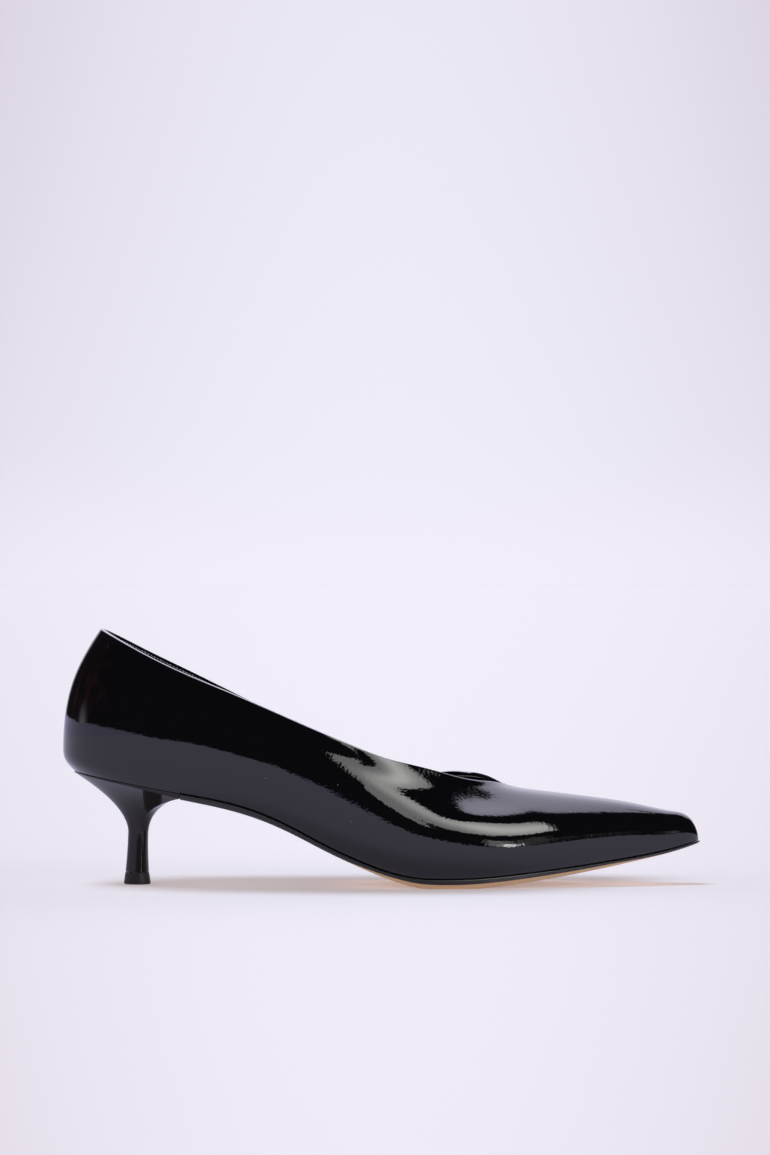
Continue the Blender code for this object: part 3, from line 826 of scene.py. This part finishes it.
class Nodes:
    """Short way to write a node tree."""

    def __init__(self, tree):
        self.tree = tree
        tree.nodes.clear()

    def add(self, kind, inputs=None, **settings):
        """Add a node; an input is a value, or the output that it is linked to."""
        node = self.tree.nodes.new(kind)
        for name, value in settings.items():
            setattr(node, name, value)
        for name, value in (inputs or {}).items():
            if isinstance(value, bpy.types.NodeSocket):
                self.tree.links.new(value, node.inputs[name])
            else:
                node.inputs[name].default_value = value
        return node

    def math(self, operation, *values):
        """One sum, such as MULTIPLY."""
        node = self.add("ShaderNodeMath", dict(enumerate(values)), operation=operation)
        return node.outputs[0]

    def step(self, value, low, high):
        """Soft step from 0 at low to 1 at high."""
        inputs = {"Value": value, "From Min": low, "From Max": high}
        return self.add("ShaderNodeMapRange", inputs, interpolation_type="SMOOTHSTEP").outputs["Result"]

    def between(self, share, first, second):
        """Number between two."""
        return self.math("MULTIPLY_ADD", share, second - first, first)

    def mix(self, share, first, second, way="MIX"):
        """Colour between two, or their product."""
        inputs = dict(zip(MIX_INPUTS, (share, first, second)))
        node = self.add("ShaderNodeMix", inputs, data_type="RGBA", blend_type=way)
        return node.outputs[MIX_OUTPUT]

    def noise(self, place, scale, detail=2.0, rough=0.5):
        """Noise of so many waves a metre."""
        inputs = {"Vector": place, "Scale": scale, "Detail": detail, "Roughness": rough}
        return self.add("ShaderNodeTexNoise", inputs).outputs["Fac"]

    def bump(self, height, distance, strength=1.0, normal=None):
        """Normal of a fine relief, over another if there is one."""
        inputs = {"Height": height, "Distance": distance, "Strength": strength}
        if normal is not None:
            inputs["Normal"] = normal
        return self.add("ShaderNodeBump", inputs).outputs["Normal"]


def colour(red, green, blue):
    """Colour as the nodes take it."""
    return (red, green, blue, 1.0)


def new_material(name):
    """A material, its empty tree and the place on the object."""
    made = bpy.data.materials.new(name)
    made.use_nodes = True
    nodes = Nodes(made.node_tree)
    place = nodes.add("ShaderNodeTexCoord").outputs["Object"]
    return made, nodes, place


def close_material(nodes, inputs):
    """The material's shader and its output."""
    shader = nodes.add("ShaderNodeBsdfPrincipled", inputs)
    nodes.add("ShaderNodeOutputMaterial", {"Surface": shader.outputs["BSDF"]})


def dust_specks(nodes, place, scale, size):
    """Sparse tiny specks: 1 in a speck, 0 elsewhere."""
    cell = nodes.add("ShaderNodeTexVoronoi", {"Vector": place, "Scale": scale})
    few = nodes.add("ShaderNodeSeparateColor", {"Color": cell.outputs["Color"]}).outputs["Red"]
    here = nodes.math("LESS_THAN", cell.outputs["Distance"], nodes.math("MULTIPLY", few, size))
    return nodes.math("MULTIPLY", here, nodes.math("GREATER_THAN", few, DUST_FROM))


def patent_material():
    """Black leather under a mirror film: a fine ripple in the film, faint dust on it, and a painted
    brighter highlight on the folded topline.
    """
    made, nodes, place = new_material("patent_black")
    fold = nodes.add("ShaderNodeAttribute", attribute_name="fold").outputs["Fac"]
    along = nodes.add("ShaderNodeSeparateXYZ", {"Vector": place}).outputs["X"]
    ripple = nodes.noise(place, 780.0, 2.0, 0.5)
    swell = nodes.noise(place, 95.0, 1.0, 0.4)
    worn = nodes.between(nodes.step(along, *RIPPLE_GROWS), RIPPLE_BEHIND, 1.0)
    film = nodes.bump(ripple, 4.4e-5, nodes.math("MULTIPLY", worn, nodes.math("SUBTRACT", 1.0, fold)))
    film = nodes.bump(swell, 6.0e-5, 1.0, film)
    # The coat's IOR is raised on the folded topline, which paints a brighter highlight there than the
    # film itself gives
    fold_highlight_ior = nodes.between(nodes.step(fold, *FOLD_FROM), SKIN_COAT_IOR, FOLD_HIGHLIGHT_IOR)
    speck = dust_specks(nodes, place, 170.0, 0.045)
    base = nodes.mix(speck, colour(0.0028, 0.0027, 0.0036), colour(0.16, 0.16, 0.17))
    close_material(nodes, {
        "Base Color": base, "Roughness": 0.45, "Specular IOR Level": 0.0, "Normal": film,
        "Coat Weight": 1.0, "Coat Roughness": 0.018, "Coat IOR": fold_highlight_ior, "Coat Normal": film})
    return made


def lining_material():
    """Matte black lining leather with a fine grain."""
    made, nodes, place = new_material("lining_black")
    grain = nodes.noise(place, 1500.0, 3.0, 0.6)
    tone = nodes.mix(nodes.noise(place, 60.0), colour(0.007, 0.007, 0.011), colour(0.013, 0.013, 0.019))
    close_material(nodes, {
        "Base Color": tone, "Roughness": 0.5, "Specular IOR Level": 0.4,
        "Normal": nodes.bump(grain, 6.0e-5)})
    return made


def thread_material():
    """Light grey thread, twisted."""
    made, nodes, place = new_material("thread_grey")
    inputs = {"Vector": place, "Scale": 900.0, "Distortion": 2.0}
    twist = nodes.add("ShaderNodeTexWave", inputs).outputs["Fac"]
    tone = nodes.mix(twist, colour(0.49, 0.55, 0.63), colour(0.7, 0.78, 0.88))
    close_material(nodes, {"Base Color": tone, "Roughness": 0.55, "Normal": nodes.bump(twist, 3.0e-5)})
    return made


def sole_material():
    """Tan sole leather, painted black along its edge."""
    made, nodes, place = new_material("sole_tan_and_black_edge")
    paint = nodes.add("ShaderNodeAttribute", attribute_name="paint").outputs["Fac"]
    fibre = nodes.noise(place, 900.0, 4.0, 0.6)
    cloud = nodes.noise(place, 45.0, 3.0)
    tan = nodes.mix(cloud, colour(0.48, 0.32, 0.18), colour(0.64, 0.46, 0.29))
    tan = nodes.mix(nodes.math("MULTIPLY", fibre, FIBRE_SHARE), tan, colour(0.36, 0.22, 0.11))
    black = nodes.mix(fibre, colour(0.006, 0.006, 0.006), colour(0.016, 0.015, 0.015))
    close_material(nodes, {
        "Base Color": nodes.mix(paint, tan, black),
        "Roughness": nodes.between(paint, TAN_ROUGH, PAINT_ROUGH),
        "Normal": nodes.bump(nodes.noise(place, 700.0, 3.0), 7.0e-5)})
    return made


def lacquer_material():
    """Gloss black lacquer."""
    made, nodes, place = new_material("lacquer_black")
    film = nodes.bump(nodes.noise(place, 260.0, 1.0), 1.2e-5)
    speck = dust_specks(nodes, place, 190.0, 0.04)
    base = nodes.mix(speck, colour(0.012, 0.0105, 0.0115), colour(0.12, 0.12, 0.13))
    close_material(nodes, {
        "Base Color": base, "Roughness": 0.4, "Specular IOR Level": 0.0, "Normal": film,
        "Coat Weight": 0.5, "Coat Roughness": 0.06, "Coat IOR": 1.5, "Coat Normal": film})
    return made


def rubber_material():
    """Matte black lift rubber."""
    made, nodes, place = new_material("lift_black")
    grain = nodes.noise(place, 1100.0, 4.0, 0.6)
    tone = nodes.mix(grain, colour(0.007, 0.006, 0.006), colour(0.016, 0.015, 0.015))
    close_material(nodes, {"Base Color": tone, "Roughness": 0.48, "Normal": nodes.bump(grain, 5.0e-5)})
    return made


# Stage: floor, surroundings, light and camera

# Floor, in metres: its colours for the camera and for the gloss, its size, the least distance from the
# camera that counts, and where in front of the frame it takes its edge colour throughout
FLOOR_COLOUR = colour(0.91, 0.905, 0.955)
FLOOR_EDGE = colour(0.81, 0.775, 0.825)
FLOOR_MIRRORED = colour(0.87, 0.82, 0.97)
FLOOR_MIRRORED_GLOW = colour(0.3, 0.3, 0.42)
FLOOR_GLOW = colour(0.265, 0.235, 0.225)
FLOOR_RADIUS = 80.0
FLOOR_CORNERS = 128
FLOOR_NEAREST = 0.5
FLOOR_UNSEEN = (1.1, 0.8)

# Light on the floor: even light from low all round, and one soft sun
AMBIENT = colour(1.32, 1.15, 1.13)
AMBIENT_TO = (0.5, 0.64)
SUN_STRENGTH = 1.24
SUN_COLOUR = (0.73, 0.9, 1.08)
SUN_SIDE = math.radians(-16)
SUN_SPREAD = math.radians(24)

# Flag that widens the soft shade under the shoe: how high it hangs, and the shade's outline on the floor
FLAG_HIGH = 100.0
FLAG_SHADE = ((-104, -30), (-70, -52), (-30, -62), (10, -67), (50, -60), (70, -39), (91, -9), (108, 14),
              (116, 40), (106, 58), (60, 58), (0, 55), (-60, 54), (-104, 45))

# Backdrop that the camera sees: its colours, the far floor's colours that it takes on low down, and how
# the light falls off to the sides, away and in the corners
HORIZON_COLOUR = colour(0.855, 0.848, 0.942)
HIGH_COLOUR = colour(0.716, 0.658, 0.768)
SEAM_COLOUR = colour(0.888, 0.856, 0.959)
SEAM_EDGE = colour(0.79, 0.733, 0.829)
SEAM_RISE = (0.03, 0.0)
FALL_SIDE = 0.4
FALL_AWAY = 0.25
FALL_CORNER = 0.35
FRAME_HIGH = FRAME_HEIGHT / 2 / FOCAL_PIXELS
FRAME_WIDE = FRAME_WIDTH / 2 / FOCAL_PIXELS

# What the gloss mirrors. Places are in degrees: el is 0 towards the camera, 90 up and 180 behind, and
# side is positive towards the toe
STUDIO_DARK = colour(0.02, 0.018, 0.022)
STUDIO_BROWN = colour(0.16, 0.06, 0.05)
BROWN_SCALE = 9.0
BROWN_PATCHES = (0.45, 0.7)
BROWN_SIDE = (-40.0, -65.0)
BACKDROP = colour(2.2, 2.1, 2.65)
BACKDROP_LOW = colour(1.0, 0.97, 1.1)
BACKDROP_FROM = 117.0
BACKDROP_LEFT = (-33.0, -17.0)
BACKDROP_RIGHT = (40.0, 27.0)
BACKDROP_SINKS = (140.0, 176.0)
SWEEP = colour(0.85, 0.78, 1.2)
SWEEP_RISE = 0.1
SWEEP_FROM = 0.2
SWEEP_SOFT = 0.004
RIM = colour(1.35, 1.3, 1.5)
RIM_SIDE = (-76.0, -89.0)
GLINT = colour(15.0, 15.0, 15.0)
GLINT_EL = (2.0, 11.0)
GLINT_SIDE = (33.0, 37.0)
COMB = colour(6.0, 6.0, 6.0)
COMB_EL = (2.0, 24.0)
COMB_SIDE = (26.0, 35.0)
COMB_PITCH = 2.0
COMB_TEETH = (0.0, 0.8)
FAR_BOX = colour(0.5, 0.52, 0.5)
FAR_BOX_EL = (2.0, 34.0)
FAR_BOX_SIDE = (36.0, 43.0)
SOFT_EDGE = 1.2

# Softbox near the shoe: its corners and its brightest place as they are seen from beside the throat
PANEL_SEEN_FROM = np.array((5.0, -25.0, 42.0))
PANEL_FACING = (62.0, 22.0)
PANEL_AWAY = 185.0
PANEL_CORNERS = ((41, 0.3), (33, -0.5), (28, -2.8), (24.5, -2.5), (19.5, 1), (18.5, 6), (29, 8.5),
                 (32, 12), (29, 18), (30, 28), (36, 39), (43, 47), (106, 48), (105, 34), (95, 32.5),
                 (83, 24.5), (72, 18.5), (68, 16.5), (64, 8), (46, 3))
PANEL_COLOUR = colour(1.0, 1.0, 0.985)
PANEL_HOT_PLACE = (64.0, 38.0)
PANEL_HOT_SPREAD = 45.0 * MM
PANEL_EVEN = 2.9
PANEL_HOT = 5.5

# Black card over the toe, which ends the softbox there, and a small white one that brings the backdrop
# lower: corners in the frame
CARD_CORNERS = ((52.5, 63, 199.5), (135, -102, 51), (465, -102, 51), (382.5, 63, 199.5))
WHITE_CORNERS = ((74, 10, 92), (93, 10, 107), (113, 10, 110), (127, 10, 110),
                 (131, 10, 89), (130, 10, 68), (84, 10, 70))


def seen_way(el, side):
    """Direction of a place that is given by el and side in degrees."""
    el, side = math.radians(el), math.radians(side)
    return np.array((math.sin(side), -math.cos(side) * math.cos(el), math.cos(side) * math.sin(el)))


def vignette(nodes, wide, away):
    """How far the light has fallen off: to the sides, and a little upwards or forwards."""
    square = nodes.math("MINIMUM", nodes.math("MULTIPLY", wide, wide), 1.0)
    share = nodes.math("MULTIPLY_ADD", square, FALL_SIDE, nodes.math("MULTIPLY", away, FALL_AWAY))
    share = nodes.math("MULTIPLY_ADD", nodes.math("MULTIPLY", square, away), FALL_CORNER, share)
    return nodes.math("MINIMUM", share, 1.0)


def make_floor():
    """Plain pale floor, wide enough to meet the horizon, a little darker to the sides and in front."""
    data = bpy.data.meshes.new("floor")
    work = bmesh.new()
    bmesh.ops.create_circle(work, cap_ends=True, segments=FLOOR_CORNERS, radius=FLOOR_RADIUS)
    work.to_mesh(data)
    work.free()
    made, nodes, place = new_material("floor_pale")
    apart = nodes.add("ShaderNodeSeparateXYZ", {"Vector": place})
    depth = nodes.math("SUBTRACT", apart.outputs["Y"], CAMERA_PLACE[1] * MM)
    depth = nodes.math("MAXIMUM", depth, FLOOR_NEAREST)
    wide = nodes.math("DIVIDE", nodes.math("DIVIDE", apart.outputs["X"], depth), FRAME_WIDE)
    near = nodes.math("DIVIDE", CAMERA_PLACE[2] * MM / FRAME_HIGH, depth)
    fall = nodes.math("MAXIMUM", vignette(nodes, wide, near), nodes.step(depth, *FLOOR_UNSEEN))
    mirrored = nodes.add("ShaderNodeLightPath").outputs["Is Glossy Ray"]
    plain = nodes.mix(fall, FLOOR_COLOUR, FLOOR_EDGE)
    glow = nodes.mix(mirrored, nodes.mix(1.0, plain, FLOOR_GLOW, "MULTIPLY"), FLOOR_MIRRORED_GLOW)
    close_material(nodes, {
        "Base Color": nodes.mix(mirrored, plain, FLOOR_MIRRORED), "Roughness": 0.8,
        "Specular IOR Level": 0.0, "Emission Color": glow, "Emission Strength": 1.0})
    made.cycles.emission_sampling = "NONE"
    data.materials.append(made)
    floor = bpy.data.objects.new("floor", data)
    bpy.context.scene.collection.objects.link(floor)


def only_for(piece, use):
    """Put a piece of the studio in the scene that is there for one kind of ray alone."""
    bpy.context.scene.collection.objects.link(piece)
    for ray in ("camera", "diffuse", "glossy", "transmission", "volume_scatter", "shadow"):
        setattr(piece, "visible_" + ray, ray == use)


def flat_sheet(name, corners):
    """Piece of one flat face."""
    data = bpy.data.meshes.new(name)
    data.from_pydata((np.array(corners) * MM).tolist(), [], [list(range(len(corners)))])
    return bpy.data.objects.new(name, data)


def make_glow(name, corners, tone, middle=None):
    """Flat sheet that glows for the gloss alone, evenly or, as a softbox, round its brightest place."""
    made, nodes, place = new_material(name)
    strength = 1.0
    if middle is not None:
        away = nodes.add("ShaderNodeVectorMath", {0: place}, operation="LENGTH").outputs["Value"]
        off = nodes.math("DIVIDE", away, PANEL_HOT_SPREAD)
        hot = nodes.math("EXPONENT", nodes.math("MULTIPLY", nodes.math("MULTIPLY", off, off), -0.5))
        strength = nodes.math("MULTIPLY_ADD", hot, PANEL_HOT, PANEL_EVEN)
        corners = corners - middle
    glow = nodes.add("ShaderNodeEmission", {"Color": tone, "Strength": strength})
    nodes.add("ShaderNodeOutputMaterial", {"Surface": glow.outputs["Emission"]})
    made.cycles.emission_sampling = "NONE"
    piece = flat_sheet(name, corners)
    piece.data.materials.append(made)
    if middle is not None:
        piece.location = middle * MM
    only_for(piece, "glossy")


def make_softbox():
    """Slanting softbox over the shoe."""
    facing = seen_way(*PANEL_FACING)

    def on_panel(seen):
        way = seen_way(*seen)
        return PANEL_SEEN_FROM + way * PANEL_AWAY / (way @ facing)

    corners = np.array([on_panel(seen) for seen in PANEL_CORNERS])
    make_glow("softbox", corners, PANEL_COLOUR, on_panel(PANEL_HOT_PLACE))


def make_flag():
    """Flag between the light and the floor, of which only the shade is seen."""
    back = FLAG_HIGH * math.tan(SUN_SIDE)
    only_for(flat_sheet("flag", [(x + back, y, FLAG_HIGH) for x, y in FLAG_SHADE]), "shadow")


def window(nodes, value, low, high):
    """1 between two limits with soft edges, 0 outside."""
    inside = nodes.step(value, low - SOFT_EDGE, low + SOFT_EDGE)
    return nodes.math("MULTIPLY", inside, nodes.step(value, high + SOFT_EDGE, high - SOFT_EDGE))


def patch(nodes, el, side, el_limits, side_limits):
    """1 in a patch of the surroundings, 0 outside."""
    return nodes.math("MULTIPLY", window(nodes, el, *el_limits), window(nodes, side, *side_limits))


def make_surroundings():
    """Pale backdrop for the camera, even light for the floor, and the studio that the gloss mirrors."""
    world = bpy.data.worlds.new("studio")
    bpy.context.scene.world = world
    world.use_nodes = True
    world.cycles.sampling_method = "NONE"
    nodes = Nodes(world.node_tree)
    way = nodes.add("ShaderNodeTexCoord").outputs["Generated"]
    apart = nodes.add("ShaderNodeSeparateXYZ", {"Vector": way})
    x, y, z = (apart.outputs[axis] for axis in "XYZ")
    el = nodes.math("DEGREES", nodes.math("ARCTAN2", z, nodes.math("MULTIPLY", y, -1.0)))
    side = nodes.math("DEGREES", nodes.math("ARCSINE", x))

    brown = nodes.step(nodes.noise(way, BROWN_SCALE), *BROWN_PATCHES)
    brown = nodes.math("MULTIPLY", brown, nodes.step(side, *BROWN_SIDE))
    mirrored = nodes.mix(brown, STUDIO_DARK, STUDIO_BROWN)
    behind = nodes.step(el, BACKDROP_FROM - SOFT_EDGE, BACKDROP_FROM + SOFT_EDGE)
    for limits in (BACKDROP_LEFT, BACKDROP_RIGHT):
        behind = nodes.math("MULTIPLY", behind, nodes.step(side, *limits))
    low = nodes.step(el, *BACKDROP_SINKS)
    mirrored = nodes.mix(behind, mirrored, nodes.mix(low, BACKDROP, BACKDROP_LOW))
    mirrored = nodes.mix(nodes.step(side, *RIM_SIDE), mirrored, RIM)
    rise = nodes.math("MULTIPLY_ADD", x, -SWEEP_RISE, -SWEEP_RISE * SWEEP_FROM)
    over = nodes.math("SUBTRACT", z, nodes.math("MAXIMUM", rise, 0.0))
    mirrored = nodes.mix(nodes.step(over, SWEEP_SOFT, -SWEEP_SOFT), mirrored, SWEEP)
    mirrored = nodes.mix(patch(nodes, el, side, FAR_BOX_EL, FAR_BOX_SIDE), mirrored, FAR_BOX)
    bars = nodes.math("SINE", nodes.math("MULTIPLY", side, 2 * math.pi / COMB_PITCH))
    bars = nodes.step(bars, *COMB_TEETH)
    bars = nodes.math("MULTIPLY", bars, patch(nodes, el, side, COMB_EL, COMB_SIDE))
    mirrored = nodes.mix(bars, mirrored, COMB)
    mirrored = nodes.mix(patch(nodes, el, side, GLINT_EL, GLINT_SIDE), mirrored, GLINT)

    wide = nodes.math("DIVIDE", x, FRAME_WIDE)
    high = nodes.math("MAXIMUM", nodes.math("DIVIDE", z, FRAME_HIGH), 0.0)
    fall = vignette(nodes, wide, high)
    seen = nodes.mix(fall, HORIZON_COLOUR, HIGH_COLOUR)
    seen = nodes.mix(nodes.step(z, *SEAM_RISE), seen, nodes.mix(fall, SEAM_COLOUR, SEAM_EDGE))

    ray = nodes.add("ShaderNodeLightPath").outputs
    even = nodes.mix(nodes.step(z, *AMBIENT_TO), AMBIENT, colour(0.0, 0.0, 0.0))
    light = nodes.mix(ray["Is Glossy Ray"], even, mirrored)
    light = nodes.mix(ray["Is Camera Ray"], light, seen)
    glow = nodes.add("ShaderNodeBackground", {"Color": light, "Strength": 1.0})
    nodes.add("ShaderNodeOutputWorld", {"Surface": glow.outputs["Background"]})


def make_sun():
    """One soft light from overhead, a little to the left, for the shadow on the floor."""
    data = bpy.data.lights.new("key", "SUN")
    data.energy = SUN_STRENGTH
    data.color = SUN_COLOUR
    data.angle = SUN_SPREAD
    sun = bpy.data.objects.new("key", data)
    sun.rotation_euler = (0.0, SUN_SIDE, 0.0)
    sun.visible_glossy = False
    bpy.context.scene.collection.objects.link(sun)


def make_camera():
    """Level camera square to the shoe's outer side."""
    data = bpy.data.cameras.new("camera")
    data.sensor_fit = "VERTICAL"
    data.sensor_height = SENSOR
    data.lens = FOCAL_PIXELS / FRAME_HEIGHT * SENSOR
    data.clip_end = 3 * FLOOR_RADIUS
    camera = bpy.data.objects.new("camera", data)
    camera.location = [value * MM for value in CAMERA_PLACE]
    camera.rotation_euler = (math.pi / 2, 0.0, 0.0)
    bpy.context.scene.collection.objects.link(camera)
    bpy.context.scene.camera = camera


def main():
    make_camera()
    make_floor()
    make_surroundings()
    make_softbox()
    make_glow("card_black", CARD_CORNERS, STUDIO_DARK)
    make_glow("card_white", WHITE_CORNERS, BACKDROP)
    make_flag()
    make_sun()
    bpy.context.scene.view_settings.view_transform = "Standard"
    lining = lining_material()
    make_upper(patent_material())
    make_lining(lining)
    make_stitches(thread_material())
    make_sock(lining)
    make_outsole(sole_material())
    make_heel(lacquer_material())
    make_lift(rubber_material())


main()
